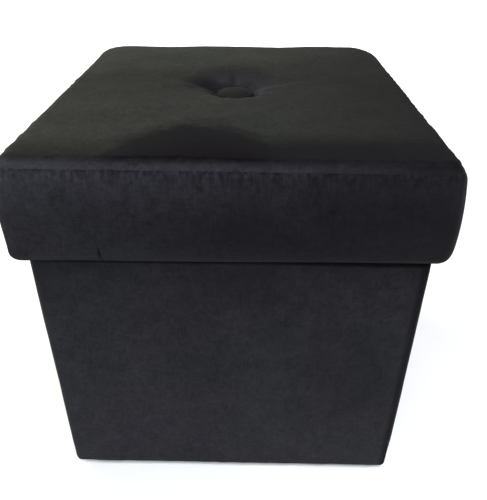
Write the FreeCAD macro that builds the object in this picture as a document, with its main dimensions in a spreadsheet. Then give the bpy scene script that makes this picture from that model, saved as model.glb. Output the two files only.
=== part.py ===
"""Upholstered storage ottoman: a square wooden box under a thick padded lid that lifts off.

Millimetres, right-handed, +Z up. The origin is the middle of the footprint on the floor, and the front
of the ottoman faces -Y. Each sub-part is written to parts/LABEL.step.
"""

import FreeCAD, Part
import os
import re
import Sketcher
from FreeCAD import Placement, Rotation, Vector

# ---------------------------------------------------------------- driving dimensions

DRIVING = (
    # the covered base
    ("BaseWidth", 356.0),
    ("RimHeight", 296.0),
    ("BaseCornerRadius", 6.0),
    ("CoverEdgeRadius", 4.0),
    ("FabricThickness", 1.0),
    ("LiningThickness", 0.6),
    ("PadThickness", 3.0),
    ("WallThickness", 12.0),
    ("FloorThickness", 9.0),
    ("RimHem", 28.0),
    ("UndersideHem", 40.0),
    ("BlockLeg", 20.0),
    ("BlockDrop", 34.0),
    ("BlockGap", 0.3),
    ("LiningDrop", 12.0),
    ("FloorLinerThickness", 2.0),
    ("FloorLinerGap", 0.3),
    ("DustCoverInset", 8.0),
    ("GlideHeight", 4.0),
    ("GlideRadius", 11.0),
    ("GlideBevel", 1.2),
    ("GlideInset", 28.0),
    # the lid
    ("LidWidth", 380.0),
    ("LidGap", 0.3),
    ("LidCornerRadius", 18.0),
    ("LidBoardThickness", 12.0),
    ("BoardEasedEdge", 11.0),
    ("LidBandHeight", 90.0),
    ("LidCrown", 8.0),
    ("LidEdgeRadius", 16.0),
    ("WaddingThickness", 3.0),
    ("LidHem", 36.0),
    ("LidLiningGap", 1.5),
    ("CleatLength", 250.0),
    ("CleatWidth", 18.0),
    ("CleatDepth", 22.0),
    ("CleatGap", 4.0),
    # the button and its tie
    ("DimpleRadius", 66.0),
    ("DimpleDepth", 12.0),
    ("ButtonRadius", 20.0),
    ("ButtonHeight", 8.0),
    ("ButtonDome", 5.0),
    ("ButtonLift", 2.0),
    ("ShellThickness", 0.8),
    ("BackThickness", 1.5),
    ("EyeRadius", 3.0),
    ("EyeWireRadius", 0.8),
    ("TuftHoleRadius", 4.5),
    ("TwineHoleRadius", 3.2),
    ("TwineRadius", 0.7),
    ("TwineSpread", 2.0),
    ("TwineDrop", 1.1),
    ("KnotRadius", 2.2),
    ("AnchorRadius", 12.5),
    ("AnchorThickness", 3.0),
    # screws, nails and staples
    ("ScrewRadius", 1.75),
    ("ScrewHeadRadius", 3.5),
    ("ScrewHeadDepth", 2.2),
    ("ScrewTipLength", 4.0),
    ("WallScrewLength", 35.0),
    ("FloorScrewLength", 30.0),
    ("CleatScrewLength", 30.0),
    ("NailRadius", 1.0),
    ("NailHeadRadius", 3.0),
    ("NailHeadThickness", 1.0),
    ("NailHeadRecess", 1.5),
    ("NailLength", 10.0),
    ("StapleCrown", 10.0),
    ("StapleLeg", 6.0),
    ("StapleWire", 0.7),
)

# Levels and faces that the driving dimensions give, as formulas over them.
WORKED = (
    ("CoverBottom", "GlideHeight + LiningThickness"),
    ("PanelBottom", "CoverBottom + FabricThickness"),
    ("PanelTop", "PanelBottom + FloorThickness"),
    ("WallTop", "RimHeight - FabricThickness"),
    ("CoverHalf", "BaseWidth / 2"),
    ("PadFace", "CoverHalf - FabricThickness"),
    ("WallFace", "PadFace - PadThickness"),
    ("WallInnerFace", "WallFace - WallThickness"),
    ("WallMiddle", "WallFace - WallThickness / 2"),
    ("HemFace", "WallInnerFace - FabricThickness"),
    ("HemBottom", "RimHeight - RimHem"),
    ("LiningFace", "HemFace - LiningThickness"),
    ("LiningTop", "RimHeight - LiningDrop"),
    ("LidBottom", "RimHeight + LidGap"),
    ("LidHalf", "LidWidth / 2"),
    ("CoreHalf", "LidHalf - FabricThickness - WaddingThickness"),
    ("BoardBottom", "LidBottom + FabricThickness"),
    ("BoardTop", "BoardBottom + LidBoardThickness"),
    ("SeamHeight", "LidBottom + LidBandHeight"),
    ("LidTop", "SeamHeight + LidCrown"),
    ("LidLiningBottom", "LidBottom - LiningThickness"),
    ("LidLiningHalf", "HemFace - LidLiningGap"),
    ("CleatFace", "HemFace - CleatGap"),
    ("CleatMiddle", "CleatFace - CleatWidth / 2"),
    ("CleatBottom", "LidLiningBottom - CleatDepth"),
    ("DimpleSphere", "(DimpleRadius * DimpleRadius + DimpleDepth * DimpleDepth) / (2 * DimpleDepth)"),
    ("DimpleCentre", "LidTop - DimpleDepth + DimpleSphere"),
    ("ButtonBottom", "LidTop - DimpleDepth + ButtonLift"),
    ("ButtonSphere", "(ButtonRadius * ButtonRadius + ButtonDome * ButtonDome) / (2 * ButtonDome)"),
    ("ButtonCentre", "ButtonBottom + ButtonHeight - ButtonSphere"),
    ("AnchorBottom", "LidLiningBottom - AnchorThickness"),
)

# Where the fasteners sit: heights above the floor, and distances along a side from its middle.
WALL_SCREW_HEIGHTS = (60, 155, 250)
FLOOR_SCREW_OFFSETS = (-110, 0, 110)
CLEAT_SCREW_OFFSETS = (-90, 90)
STAPLE_OFFSETS = {
    "rim_staples": (-120, -45, 45, 120),
    "lining_staples": (-85, 0, 85),
    "bottom_staples": (-100, -40, 40, 100),
    "dust_cover_staples": (-85, -30, 30, 85),
    "lid_staples": (-140, -70, 0, 70, 140),
    "lid_lining_staples": (-110, -40, 40, 110),
}
RIM_STAPLE_DROP = 20
STAPLE_MARGIN = 5

QUARTER_TURN = 90
HALF_TURN = 180
TOUCH = 1e-6

doc = FreeCAD.newDocument("StorageOttoman")
sizes = doc.addObject("Spreadsheet::Sheet", "Sizes")
worked = doc.addObject("Spreadsheet::Sheet", "Worked")
owner = {alias: "Sizes" for alias, _ in DRIVING} | {alias: "Worked" for alias, _ in WORKED}


def qualified(formula):
    """A formula over aliases, with each alias named in full for the expression engine."""
    return re.sub(r"[A-Z]\w+", lambda word: f"{owner[word.group()]}.{word.group()}", formula)


for row, (alias, number) in enumerate(DRIVING, start=1):
    sizes.set(f"A{row}", alias)
    sizes.set(f"B{row}", str(number))
    sizes.setAlias(f"B{row}", alias)
doc.recompute()
for row, (alias, formula) in enumerate(WORKED, start=1):
    worked.set(f"A{row}", alias)
    worked.setAlias(f"B{row}", alias)
    worked.set(f"B{row}", "=" + qualified(formula))
    doc.recompute()


def value(alias):
    """The number in the cell that has this alias."""
    return float(getattr(doc.getObject(owner[alias]), alias))


# ---------------------------------------------------------------- ways of making a sub-part

sub_parts = []


def keep(thing, label):
    """Name an object as a finished sub-part."""
    thing.Label = label
    sub_parts.append(thing)
    return thing


def bind(thing, **formulas):
    """Bind properties of an object to formulas over the sheet's aliases."""
    for name, formula in formulas.items():
        thing.setExpression(name, qualified(formula))
    return thing


def place(thing, x="0", y="0", z="0"):
    """Bind an object's position to formulas over the sheet's aliases."""
    for axis, formula in (("x", x), ("y", y), ("z", z)):
        thing.setExpression(f"Placement.Base.{axis}", qualified(formula))
    return thing


def block(name, length, width, height, x="0", y="0", z="0"):
    """A box centred on (x, y), standing on z."""
    box = bind(doc.addObject("Part::Box", name), Length=length, Width=width, Height=height)
    return place(box, f"{x} - ({length}) / 2", f"{y} - ({width}) / 2", z)


def rod(name, radius, height, x="0", y="0", z="0"):
    """An upright cylinder standing on z."""
    return place(bind(doc.addObject("Part::Cylinder", name), Radius=radius, Height=height), x, y, z)


def ball(name, radius, z):
    """A sphere on the vertical axis."""
    return place(bind(doc.addObject("Part::Sphere", name), Radius=radius), z=z)


def cut(name, base, tool):
    """One object less another."""
    result = doc.addObject("Part::Cut", name)
    result.Base = base
    result.Tool = tool
    return result


def common(name, base, tool):
    """What two objects share."""
    result = doc.addObject("Part::Common", name)
    result.Base = base
    result.Tool = tool
    return result


def fused(name, *shapes):
    """Several objects joined into one."""
    result = doc.addObject("Part::MultiFuse", name)
    result.Shapes = list(shapes)
    return result


def shaped(label, shape):
    """A sub-part whose shape comes straight from Part's own functions."""
    feature = doc.addObject("Part::Feature", label)
    feature.Shape = shape
    return keep(feature, label)


def sketch_on(body, role, name):
    """A sketch on one of a body's origin planes."""
    plane = next(feature for feature in body.Origin.OriginFeatures if feature.Role == role)
    sketch = body.newObject("Sketcher::SketchObject", name)
    sketch.AttachmentSupport = [(plane, "")]
    sketch.MapMode = "FlatFace"
    return sketch


def draw_outline(sketch, corners):
    """A closed outline of straight lines whose corners are bound to pairs of formulas."""
    count = len(corners)
    starts = [Vector(index, index * index, 0) for index in range(count)]
    for index in range(count):
        sketch.addGeometry(Part.LineSegment(starts[index], starts[(index + 1) % count]), False)
    for index, (across, up) in enumerate(corners):
        previous = (index - 1) % count
        sketch.addConstraint(Sketcher.Constraint("Coincident", previous, 2, index, 1))
        for kind, formula in (("DistanceX", across), ("DistanceY", up)):
            name = f"{kind}{index}"
            number = sketch.addConstraint(Sketcher.Constraint(kind, -1, 1, index, 1, 1.0))
            sketch.renameConstraint(number, name)
            sketch.setExpression(f"Constraints.{name}", qualified(formula))


def edges_where(feature, test):
    """The names of a feature's edges that pass a test."""
    doc.recompute()
    return [f"Edge{number}" for number, edge in enumerate(feature.Shape.Edges, start=1) if test(edge)]


def is_upright(edge):
    """Whether an edge runs straight up."""
    box = edge.BoundBox
    return box.XLength < TOUCH and box.YLength < TOUCH


def is_level_at(height):
    """A test for edges that lie flat at one height of their body."""
    def lies_there(edge):
        box = edge.BoundBox
        return abs(box.ZMin - height) < TOUCH and abs(box.ZMax - height) < TOUCH
    return lies_there


def rounded(body, base, edges, radius, name):
    """A fillet on some of a body's edges."""
    fillet = body.newObject("PartDesign::Fillet", name)
    fillet.Base = (base, edges)
    bind(fillet, Radius=radius)
    body.Tip = fillet
    return fillet


def rounded_block(name, half, bottom, height, corner, top=None, foot=None):
    """A square block with rounded upright corners and, if asked, a rounded top and foot."""
    body = place(doc.addObject("PartDesign::Body", name), z=bottom)
    sketch = sketch_on(body, "XY_Plane", f"{name}Outline")
    near = f"-({half})"
    draw_outline(sketch, [(near, near), (half, near), (half, half), (near, half)])
    pad = body.newObject("PartDesign::Pad", f"{name}Pad")
    pad.Profile = sketch
    bind(pad, Length=height)
    doc.recompute()
    full_height = pad.Shape.BoundBox.ZMax
    solid = rounded(body, pad, edges_where(pad, is_upright), corner, f"{name}Corners")
    if top:
        solid = rounded(body, solid, edges_where(solid, is_level_at(full_height)), top, f"{name}Top")
    if foot:
        solid = rounded(body, solid, edges_where(solid, is_level_at(0)), foot, f"{name}Foot")
    doc.recompute()
    return body


def turned(name, corners, z="0"):
    """A body turned about the vertical axis from an outline of (radius, height) formulas."""
    body = place(doc.addObject("PartDesign::Body", name), z=z)
    sketch = sketch_on(body, "XZ_Plane", f"{name}Outline")
    draw_outline(sketch, corners)
    turn = body.newObject("PartDesign::Revolution", f"{name}Turn")
    turn.Profile = sketch
    turn.ReferenceAxis = (sketch, ["V_Axis"])
    turn.Angle = 2 * HALF_TURN
    body.Tip = turn
    doc.recompute()
    return body


def around(solid, distance, offsets, height, quarters=range(4)):
    """Copies of a solid that is made for the front, set out along the sides of the box."""
    copies = []
    for quarter in quarters:
        turn = Placement(Vector(), Rotation(Vector(0, 0, 1), QUARTER_TURN * quarter))
        for offset in offsets:
            copy = solid.copy()
            copy.Placement = turn.multiply(Placement(Vector(offset, -distance, height), Rotation()))
            copies.append(copy)
    return copies


# ---------------------------------------------------------------- fasteners

INWARD = Vector(0, 1, 0)
OUTWARD = Vector(0, -1, 0)
UP = Vector(0, 0, 1)
DOWN = Vector(0, 0, -1)


def screw(length, direction):
    """A countersunk screw whose head lies flush at the origin and which points along a direction."""
    radius = value("ScrewRadius")
    tip_length = value("ScrewTipLength")
    head = Part.makeCone(value("ScrewHeadRadius"), radius, value("ScrewHeadDepth"), Vector(), direction)
    shank = Part.makeCylinder(radius, length - tip_length, Vector(), direction)
    tip = Part.makeCone(radius, 0, tip_length, direction * (length - tip_length), direction)
    return head.fuse([shank, tip]).removeSplitter()


def staple(direction):
    """A staple whose crown lies along X at the origin and whose legs point along a direction."""
    wire = value("StapleWire")
    width = value("StapleCrown")
    leg = value("StapleLeg")
    crown = Part.makeBox(width, wire, wire, Vector(-width / 2, -wire / 2, 0))
    legs = [Part.makeBox(wire, wire, leg, Vector(x, -wire / 2, 0)) for x in (-width / 2, width / 2 - wire)]
    shape = crown.fuse(legs).removeSplitter()
    return shape.transformGeometry(Placement(Vector(), Rotation(UP, direction)).toMatrix())


def group(label, copies):
    """A sub-part that is a group of separate, identical fasteners."""
    return shaped(label, Part.makeCompound(copies))


def make_wall_screws():
    """Screws through the front and back walls into the ends of the side walls."""
    body = screw(value("WallScrewLength"), INWARD)
    middle = value("WallMiddle")
    return group("wall_screws", [
        copy for height in WALL_SCREW_HEIGHTS
        for copy in around(body, value("WallFace"), (-middle, middle), height, (0, 2))])


def make_floor_screws():
    """Screws through the floor panel into the lower edges of the walls."""
    body = screw(value("FloorScrewLength"), UP)
    return group("floor_screws",
                 around(body, value("WallMiddle"), FLOOR_SCREW_OFFSETS, value("PanelBottom")))


def make_cleat_screws():
    """Screws down through the lid board into the cleats."""
    body = screw(value("CleatScrewLength"), DOWN)
    return group("cleat_screws", around(body, value("CleatMiddle"), CLEAT_SCREW_OFFSETS, value("BoardTop")))


def make_staples():
    """The six rows of staples. Those of the cover's hems are pulled flush into the cloth."""
    wire = value("StapleWire")
    outward = staple(OUTWARD)
    upright = staple(UP)
    base_hem = value("CoverHalf") - value("UndersideHem")
    dust_edge = value("CoverHalf") - value("DustCoverInset")
    lid_hem = value("LidHalf") - value("LidHem")
    rows = (
        ("rim_staples", outward, value("HemFace"), value("RimHeight") - RIM_STAPLE_DROP),
        ("lining_staples", outward, value("LiningFace") - wire, value("LiningTop") - STAPLE_MARGIN),
        ("bottom_staples", upright, base_hem + STAPLE_MARGIN, value("CoverBottom")),
        ("dust_cover_staples", upright, dust_edge - STAPLE_MARGIN, value("GlideHeight") - wire),
        ("lid_staples", upright, lid_hem + 2 * STAPLE_MARGIN, value("LidBottom")),
        ("lid_lining_staples", upright, value("LidLiningHalf") - wire, value("LidLiningBottom") - wire),
    )
    for label, solid, distance, height in rows:
        group(label, around(solid, distance, STAPLE_OFFSETS[label], height))


def make_glide_nails():
    """A flat-headed nail up through the middle of each glide."""
    top = value("NailHeadRecess")
    thickness = value("NailHeadThickness")
    nail_head = Part.makeCylinder(value("NailHeadRadius"), thickness)
    shank = Part.makeCylinder(value("NailRadius"), value("NailLength"))
    nail = nail_head.fuse(shank).removeSplitter()
    reach = value("CoverHalf") - value("GlideInset")
    return group("glide_nails", around(nail, reach, (reach,), top - thickness))


# ---------------------------------------------------------------- the base

def make_floor_panel(screws):
    """The bottom board of the box, drilled for its screws."""
    panel = block("FloorBoard", "2 * WallFace", "2 * WallFace", "FloorThickness", z="PanelBottom")
    keep(cut("FloorPanel", panel, screws), "floor_panel")


def make_walls(screws):
    """Four boards that stand on the floor panel. The side walls fit between the front and back ones."""
    height = "WallTop - PanelTop"
    long_wall = "2 * WallFace"
    short_wall = "2 * WallInnerFace"
    for label, length, width, x, y in (
            ("front_wall", long_wall, "WallThickness", "0", "-WallMiddle"),
            ("back_wall", long_wall, "WallThickness", "0", "WallMiddle"),
            ("left_wall", "WallThickness", short_wall, "-WallMiddle", "0"),
            ("right_wall", "WallThickness", short_wall, "WallMiddle", "0")):
        board = block(f"{label}_board", length, width, height, x, y, "PanelTop")
        keep(cut(f"{label}_drilled", board, screws), label)


def make_pads():
    """Thin foam sheets on the outsides of the walls, between the cover's rounded corners and edges."""
    length = "2 * (CoverHalf - BaseCornerRadius)"
    height = "RimHeight - CoverEdgeRadius - PanelTop"
    middle = "WallFace + PadThickness / 2"
    for label, across, along, x, y in (
            ("front_pad", length, "PadThickness", "0", f"-({middle})"),
            ("back_pad", length, "PadThickness", "0", middle),
            ("left_pad", "PadThickness", length, f"-({middle})", "0"),
            ("right_pad", "PadThickness", length, middle, "0")):
        keep(block(f"{label}_sheet", across, along, height, x, y, "PanelTop"), label)


def make_corner_blocks():
    """A triangular glue block in each inner corner of the box."""
    names = ("corner_block_front_left", "corner_block_front_right",
             "corner_block_back_right", "corner_block_back_left")
    corners = ((-1, -1), (1, -1), (1, 1), (-1, 1))
    for quarter, (label, (side_x, side_y)) in enumerate(zip(names, corners)):
        body = doc.addObject("PartDesign::Body", f"Block{quarter}")
        sketch = sketch_on(body, "XY_Plane", f"Block{quarter}Outline")
        draw_outline(sketch, [("0", "0"), ("BlockLeg", "0"), ("0", "BlockLeg")])
        pad = body.newObject("PartDesign::Pad", f"Block{quarter}Pad")
        pad.Profile = sketch
        bind(pad, Length="RimHeight - BlockDrop - PanelTop")
        body.Placement.Rotation = Rotation(UP, QUARTER_TURN * quarter)
        place(body, f"{side_x} * WallInnerFace", f"{side_y} * WallInnerFace", "PanelTop")
        keep(body, label)


def make_base_cover():
    """The cloth wrap, turned over the rim and down inside, and under the floor."""
    outer = rounded_block("CoverOuter", "CoverHalf", "CoverBottom", "RimHeight - CoverBottom",
                          "BaseCornerRadius", "CoverEdgeRadius", "CoverEdgeRadius")
    inner = rounded_block("CoverInner", "PadFace", "PanelBottom", "WallTop - PanelBottom",
                          "BaseCornerRadius - FabricThickness", "CoverEdgeRadius - FabricThickness",
                          "CoverEdgeRadius - FabricThickness")
    skin = cut("CoverSkin", outer, inner)
    hem = block("RimHem", "2 * WallInnerFace", "2 * WallInnerFace", "RimHem", z="HemBottom")
    mouth = block("RimMouth", "2 * HemFace", "2 * HemFace", "RimHem + FabricThickness", z="HemBottom")
    underside = block("UndersideMouth", "2 * (CoverHalf - UndersideHem)", "2 * (CoverHalf - UndersideHem)",
                      "CoverEdgeRadius", z="CoverBottom")
    keep(cut("BaseCover", fused("CoverWithHem", skin, hem), fused("CoverMouths", mouth, underside)),
         "base_cover")


def blunt_square(half, corner_sum, bottom, height):
    """An upright block, square but for its corners, which lie on lines of constant |x| + |y|."""
    other = corner_sum - half
    points = [(half, -other), (half, other), (other, half), (-other, half),
              (-half, other), (-half, -other), (-other, -half), (other, -half)]
    outline = Part.makePolygon([Vector(x, y, bottom) for x, y in points + points[:1]])
    return Part.Face(outline).extrude(Vector(0, 0, height))


def make_cavity_lining_and_floor_liner():
    """The lining round the storage space, cut across its corner blocks, and the board on its floor."""
    thickness = value("LiningThickness")
    bottom = value("PanelTop")
    height = value("LiningTop") - bottom
    outer_sum = 2 * value("WallInnerFace") - value("BlockLeg") - value("BlockGap")
    inner_sum = outer_sum - thickness * 2 ** 0.5
    outer = blunt_square(value("HemFace"), outer_sum, bottom, height)
    inner = blunt_square(value("LiningFace"), inner_sum, bottom, height)
    shaped("cavity_lining", outer.cut(inner))
    gap = value("FloorLinerGap")
    shaped("floor_liner", blunt_square(value("LiningFace") - gap, inner_sum - gap, bottom,
                                       value("FloorLinerThickness")))


def make_dust_cover():
    """The sheet that closes the underside, inside the edge of the base."""
    side = "2 * (CoverHalf - DustCoverInset)"
    keep(block("DustCover", side, side, "LiningThickness", z="GlideHeight"), "dust_cover")


def make_glides(nails):
    """Four low plastic feet under the corners, each holed for its nail."""
    reach = "(CoverHalf - GlideInset)"
    for label, x, y in (("glide_front_left", "-1", "-1"), ("glide_front_right", "1", "-1"),
                        ("glide_back_right", "1", "1"), ("glide_back_left", "-1", "1")):
        foot = turned(f"{label}_foot", [("0", "0"), ("GlideRadius - GlideBevel", "0"),
                                        ("GlideRadius", "GlideBevel"), ("GlideRadius", "GlideHeight"),
                                        ("0", "GlideHeight")])
        place(foot, f"{x} * {reach}", f"{y} * {reach}")
        sink = rod(f"{label}_sink", "NailHeadRadius", "NailHeadRecess", f"{x} * {reach}", f"{y} * {reach}")
        keep(cut(f"{label}_holed", foot, fused(f"{label}_hole", sink, nails)), label)


# ---------------------------------------------------------------- the lid

def dimple(name, inset):
    """The ball that presses the dimple into a layer at a depth below the lid's outer face."""
    return ball(name, f"DimpleSphere + {inset}", "DimpleCentre")


def make_lid_board(screws):
    """The board of the lid, its lower edge eased, holed for the twine and drilled for the cleats' screws."""
    board = rounded_block("LidBoard", "CoreHalf", "BoardBottom", "LidBoardThickness",
                          "LidCornerRadius - FabricThickness - WaddingThickness", foot="BoardEasedEdge")
    hole = rod("BoardHole", "TwineHoleRadius", "LidBoardThickness", z="BoardBottom")
    keep(cut("LidBoardDrilled", cut("LidBoardHoled", board, hole), screws), "lid_board")


def make_cleats(screws):
    """Four strips under the lid that fit inside the rim with room to spare."""
    for label, along_x, x, y in (("cleat_front", True, "0", "-CleatMiddle"),
                                 ("cleat_back", True, "0", "CleatMiddle"),
                                 ("cleat_left", False, "-CleatMiddle", "0"),
                                 ("cleat_right", False, "CleatMiddle", "0")):
        length, width = ("CleatLength", "CleatWidth") if along_x else ("CleatWidth", "CleatLength")
        strip = block(f"{label}_strip", length, width, "CleatDepth", x, y, "CleatBottom")
        keep(cut(f"{label}_drilled", strip, screws), label)


def make_cushion():
    """The foam, the wadding over it and the two cut pieces of the cloth over that."""
    outer = rounded_block("LidOuter", "LidHalf", "LidBottom", "LidTop - LidBottom",
                          "LidCornerRadius", "LidEdgeRadius", "CoverEdgeRadius")
    under_cloth = rounded_block("LidUnderCloth", "LidHalf - FabricThickness", "BoardBottom",
                                "LidTop - FabricThickness - BoardBottom",
                                "LidCornerRadius - FabricThickness", "LidEdgeRadius - FabricThickness",
                                "CoverEdgeRadius - FabricThickness")
    soft = "(FabricThickness + WaddingThickness)"
    core = rounded_block("LidCore", "CoreHalf", "BoardBottom", f"LidTop - {soft} - BoardBottom",
                         f"LidCornerRadius - {soft}", f"LidEdgeRadius - {soft}")
    outer = cut("LidOuterDimpled", outer, dimple("OuterDimple", "0"))
    under_cloth = cut("LidUnderClothDimpled", under_cloth, dimple("ClothDimple", "FabricThickness"))
    core = cut("LidCoreDimpled", core, dimple("CoreDimple", soft))

    foam = cut("FoamBlock", core, block("BelowFoam", "LidWidth", "LidWidth", "LidBoardThickness",
                                        z="BoardBottom"))
    channel = rod("TwineChannel", "TwineHoleRadius", "LidTop - BoardTop", z="BoardTop")
    keep(cut("Foam", foam, channel), "lid_foam")

    tuft_hole = rod("TuftHole", "TuftHoleRadius", "LidTop - BoardTop", z="BoardTop")
    wadding = cut("WaddingLayer", under_cloth, core)
    keep(cut("Wadding", wadding, tuft_hole), "lid_wadding")

    hem_side = "2 * (LidHalf - LidHem)"
    mouth = block("LidMouth", hem_side, hem_side, "FabricThickness", z="LidBottom")
    cloth = cut("LidCloth", cut("LidClothSkin", outer, under_cloth), fused("ClothMouths", mouth, tuft_hole))
    above_seam = block("AboveSeam", "LidWidth", "LidWidth", "LidCrown", z="SeamHeight")
    round_dimple = rod("RoundDimple", "DimpleRadius", "LidTop - BoardTop", z="BoardTop")
    top_space = fused("TopSpace", above_seam, round_dimple)
    keep(common("TopCloth", cloth, top_space), "lid_top_panel")
    keep(cut("SideCloth", cloth, top_space), "lid_side_band")


def make_lid_lining(screws):
    """The sheet over the lid's underside, under the cleats."""
    sheet = block("LidLining", "2 * LidLiningHalf", "2 * LidLiningHalf", "LiningThickness",
                  z="LidLiningBottom")
    hole = rod("LiningHole", "TwineHoleRadius", "LiningThickness", z="LidLiningBottom")
    keep(cut("LidLiningDrilled", cut("LidLiningHoled", sheet, hole), screws), "lid_lining")


def button_form(name, inset):
    """The button's drum with its domed top, taken in all round by an inset."""
    drum = rod(f"{name}Drum", f"ButtonRadius - {inset}", "ButtonHeight", z="ButtonBottom")
    dome = ball(f"{name}Dome", f"ButtonSphere - {inset}", "ButtonCentre")
    return common(name, drum, dome)


def make_button():
    """The covered button: cloth over a domed shell, closed by a back plate with a wire eye."""
    whole = button_form("ButtonWhole", "0")
    under_cloth = button_form("ButtonUnderCloth", "FabricThickness")
    hollow = button_form("ButtonHollow", "(FabricThickness + ShellThickness)")
    keep(cut("ButtonCloth", whole, under_cloth), "button_cover")
    keep(cut("ButtonShell", under_cloth, hollow), "button_shell")
    plate = rod("BackPlate", "ButtonRadius - FabricThickness - ShellThickness", "BackThickness",
                z="ButtonBottom")
    eye = bind(doc.addObject("Part::Torus", "ButtonEye"), Radius1="EyeRadius", Radius2="EyeWireRadius")
    eye.Placement.Rotation = Rotation(Vector(0, 1, 0), QUARTER_TURN)
    place(eye, z="ButtonBottom")
    keep(fused("ButtonBack", plate, eye), "button_back")


def make_twine():
    """A closed loop of twine through the button's eye and round the anchor, with its knot below."""
    radius = value("TwineRadius")
    spread = value("TwineSpread")
    knot_radius = value("KnotRadius")
    bottom = value("AnchorBottom")
    top = value("ButtonBottom") - value("TwineDrop") - spread
    lowest = Vector(0, 0, bottom - spread)
    corners = [Vector(-spread, 0, bottom), Vector(-spread, 0, top),
               Vector(spread, 0, top), Vector(spread, 0, bottom)]
    path = Part.Wire([
        Part.LineSegment(corners[0], corners[1]).toShape(),
        Part.Arc(corners[1], Vector(0, 0, top + spread), corners[2]).toShape(),
        Part.LineSegment(corners[2], corners[3]).toShape(),
        Part.Arc(corners[3], lowest, corners[0]).toShape()])
    section = Part.Wire([Part.makeCircle(radius, corners[0], UP)])
    strand = path.makePipeShell([section], True, True)
    knot = Part.makeSphere(knot_radius, lowest - Vector(0, 0, knot_radius / 2))
    return shaped("tufting_twine", strand.fuse(knot).removeSplitter())


def make_twine_anchor(twine):
    """The flat button under the lid that the twine is tied round."""
    rim = "(AnchorRadius - GlideBevel)"
    disc = turned("AnchorDisc", [("0", "0"), (rim, "0"), ("AnchorRadius", "GlideBevel"),
                                 ("AnchorRadius", "AnchorThickness"), ("0", "AnchorThickness")],
                  z="AnchorBottom")
    keep(cut("Anchor", disc, twine), "twine_anchor")


# ---------------------------------------------------------------- the whole ottoman

def check_document():
    """Stop if any object of the document failed or any sub-part has no sound shape."""
    doc.recompute()
    failed = [thing.Label for thing in doc.Objects if {"Invalid", "Error"} & set(thing.State)]
    unsound = [part.Label for part in sub_parts if part.Shape.isNull() or not part.Shape.isValid()]
    if failed or unsound:
        raise RuntimeError(f"failed objects: {failed}; unsound shapes: {unsound}")


def main():
    """Make every sub-part, check them and write them out."""
    wall_screws = make_wall_screws()
    floor_screws = make_floor_screws()
    cleat_screws = make_cleat_screws()
    glide_nails = make_glide_nails()
    make_staples()

    make_floor_panel(floor_screws)
    make_walls(fused("WallFixings", wall_screws, floor_screws))
    make_pads()
    make_corner_blocks()
    make_base_cover()
    make_cavity_lining_and_floor_liner()
    make_dust_cover()
    make_glides(glide_nails)

    make_lid_board(cleat_screws)
    make_cleats(cleat_screws)
    make_cushion()
    make_lid_lining(cleat_screws)
    make_button()
    make_twine_anchor(make_twine())

    check_document()
    os.makedirs("parts", exist_ok=True)
    for part in sub_parts:
        part.Shape.exportStep(f"parts/{part.Label}.step")


main()
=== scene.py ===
"""The look of the storage ottoman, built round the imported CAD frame.

Metres, in the CAD's own frame: +Z up, the front faces -Y, and the origin is on the floor under the middle.
The cloth pieces are lofts of rounded squares. The lid's cloth is settled by a short cloth simulation.
"""

import math

import bpy
import numpy as np
from mathutils import Matrix, Vector


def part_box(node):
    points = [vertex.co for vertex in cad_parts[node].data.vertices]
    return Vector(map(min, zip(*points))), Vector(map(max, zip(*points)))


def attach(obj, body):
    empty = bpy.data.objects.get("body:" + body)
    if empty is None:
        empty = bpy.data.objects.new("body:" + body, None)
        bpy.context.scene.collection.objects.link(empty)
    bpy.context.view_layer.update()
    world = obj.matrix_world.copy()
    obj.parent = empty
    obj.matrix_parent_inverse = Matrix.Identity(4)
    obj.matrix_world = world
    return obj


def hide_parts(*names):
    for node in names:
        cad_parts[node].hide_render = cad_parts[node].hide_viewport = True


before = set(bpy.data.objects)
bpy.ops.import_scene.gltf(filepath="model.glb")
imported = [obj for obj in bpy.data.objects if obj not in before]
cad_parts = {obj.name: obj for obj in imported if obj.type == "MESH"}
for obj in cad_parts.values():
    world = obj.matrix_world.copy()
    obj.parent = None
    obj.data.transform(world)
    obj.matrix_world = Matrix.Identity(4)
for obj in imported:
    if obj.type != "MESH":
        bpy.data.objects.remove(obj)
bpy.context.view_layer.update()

MM = 0.001

# ---------------- places, from the frame

COVER_LOW, COVER_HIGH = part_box("base_cover")
BAND_LOW, BAND_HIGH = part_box("lid_side_band")
TOP_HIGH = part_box("lid_top_panel")[1].z
BOARD_LOW, BOARD_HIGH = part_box("lid_board")
LINING_LOW, LINING_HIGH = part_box("cavity_lining")
BUTTON_LOW, BUTTON_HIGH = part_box("button_cover")

CLOTH = 1.0 * MM
BASE_HALF = COVER_HIGH.x
RIM = COVER_HIGH.z
HEM_HALF = LINING_HIGH.x
LID_HALF = BAND_HIGH.x
LID_BOTTOM = BAND_LOW.z
SEAM = BAND_HIGH.z


# ---------------- mesh tools

FINE_REACH = 0.05
FINE_COLUMNS = 17
LEAST_CORNER = 0.2 * MM


def ease(low, high, x):
    """0 below low, 1 above high, and a smooth step between."""
    t = np.clip((x - low) / (high - low), 0, 1)
    return t * t * (3 - 2 * t)


def hump(x, middle, width):
    """A smooth bump of height 1 about a middle."""
    return np.exp(-((x - middle) / width) ** 2)


def ripple(points, scale, seed, waves=14):
    """A smooth random field of about -1 to 1 whose features are about as large as scale."""
    rng = np.random.default_rng(seed)
    directions = rng.normal(size=(waves, points.shape[-1]))
    directions /= np.linalg.norm(directions, axis=1)[:, None]
    rates = 2 * math.pi / (scale * rng.uniform(1.4, 3.2, waves))
    phases = rng.uniform(0, 2 * math.pi, waves)
    waves_at = np.sin(points @ (directions * rates[:, None]).T + phases)
    return waves_at.sum(-1) / math.sqrt(waves * 2)


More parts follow.
